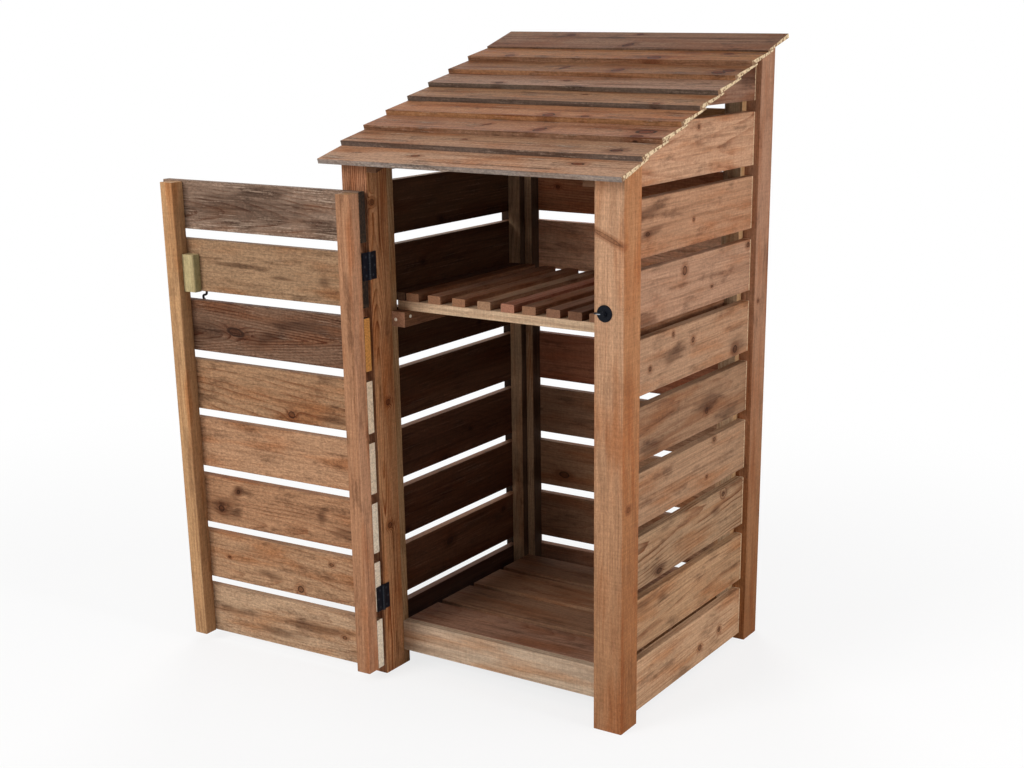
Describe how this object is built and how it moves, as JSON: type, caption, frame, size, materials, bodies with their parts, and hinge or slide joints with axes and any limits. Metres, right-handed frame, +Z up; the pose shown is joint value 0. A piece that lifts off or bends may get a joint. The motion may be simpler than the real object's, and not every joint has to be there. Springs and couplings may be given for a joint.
{
  "type": "log store",
  "caption": "Slatted timber log store on square posts, with a lapped sloping roof, a kindling shelf and a side-hung slatted door standing open.",
  "frame": {"origin": "centre of the front left post's foot, on the floor", "axes": "+Z up, +Y from the front towards the back, +X to the right as seen from the front"},
  "size_m": [1.2824, 0.8391, 1.5289],
  "materials": {
    "sawn_timber": "pressure-treated sawn softwood, brown",
    "roof_boards": "pressure-treated feather-edge board, brown",
    "pale_timber": "sawn softwood, pale where untreated",
    "black_hardware": "black japanned steel"
  },
  "bodies": {
    "cabinet": {"front_left_post": "sawn_timber", "front_right_post": "sawn_timber", "rear_left_post": "sawn_timber", "rear_right_post": "sawn_timber", "left_front_batten": "sawn_timber", "left_rear_batten": "sawn_timber", "right_front_batten": "sawn_timber", "right_rear_batten": "sawn_timber", "back_left_batten": "sawn_timber", "back_right_batten": "sawn_timber", "left_side_slats": "sawn_timber", "right_side_slats": "sawn_timber", "back_slats": "sawn_timber", "front_bottom_rail": "sawn_timber", "left_floor_bearer": "sawn_timber", "right_floor_bearer": "sawn_timber", "floor_slats": "sawn_timber", "left_shelf_bearer": "sawn_timber", "right_shelf_bearer": "sawn_timber", "left_rafter": "sawn_timber", "right_rafter": "sawn_timber", "shelf_slats": "sawn_timber", "roof_board_1": "roof_boards", "roof_board_2": "roof_boards", "roof_board_3": "roof_boards", "roof_board_4": "roof_boards", "roof_board_5": "roof_boards", "roof_board_6": "roof_boards", "roof_board_7": "roof_boards", "roof_board_8": "roof_boards", "roof_board_9": "roof_boards", "shelf_front_rail": "pale_timber", "shelf_rear_rail": "pale_timber", "upper_hinge_post_leaf": "black_hardware", "lower_hinge_post_leaf": "black_hardware", "latch_plate": "black_hardware"},
    "door": {"door_slats": "sawn_timber", "door_hinge_stile": "sawn_timber", "door_latch_stile": "sawn_timber", "door_block": "pale_timber", "door_hook": "black_hardware", "upper_hinge_door_leaf": "black_hardware", "lower_hinge_door_leaf": "black_hardware"},
    "latch_lever": {"latch_lever": "black_hardware"}
  },
  "joints": [
    {"name": "door_hinge", "type": "hinge", "parent": "cabinet", "child": "door", "pos_m": [0.039, -0.042, 0.6], "axis": [0, 0, 1], "range_deg": [-2, 178]},
    {"name": "latch_turn", "type": "hinge", "parent": "cabinet", "child": "latch_lever", "pos_m": [0.6615, -0.0424, 0.9707], "axis": [0, 1, 0], "range_deg": [0, 90]}
  ]
}
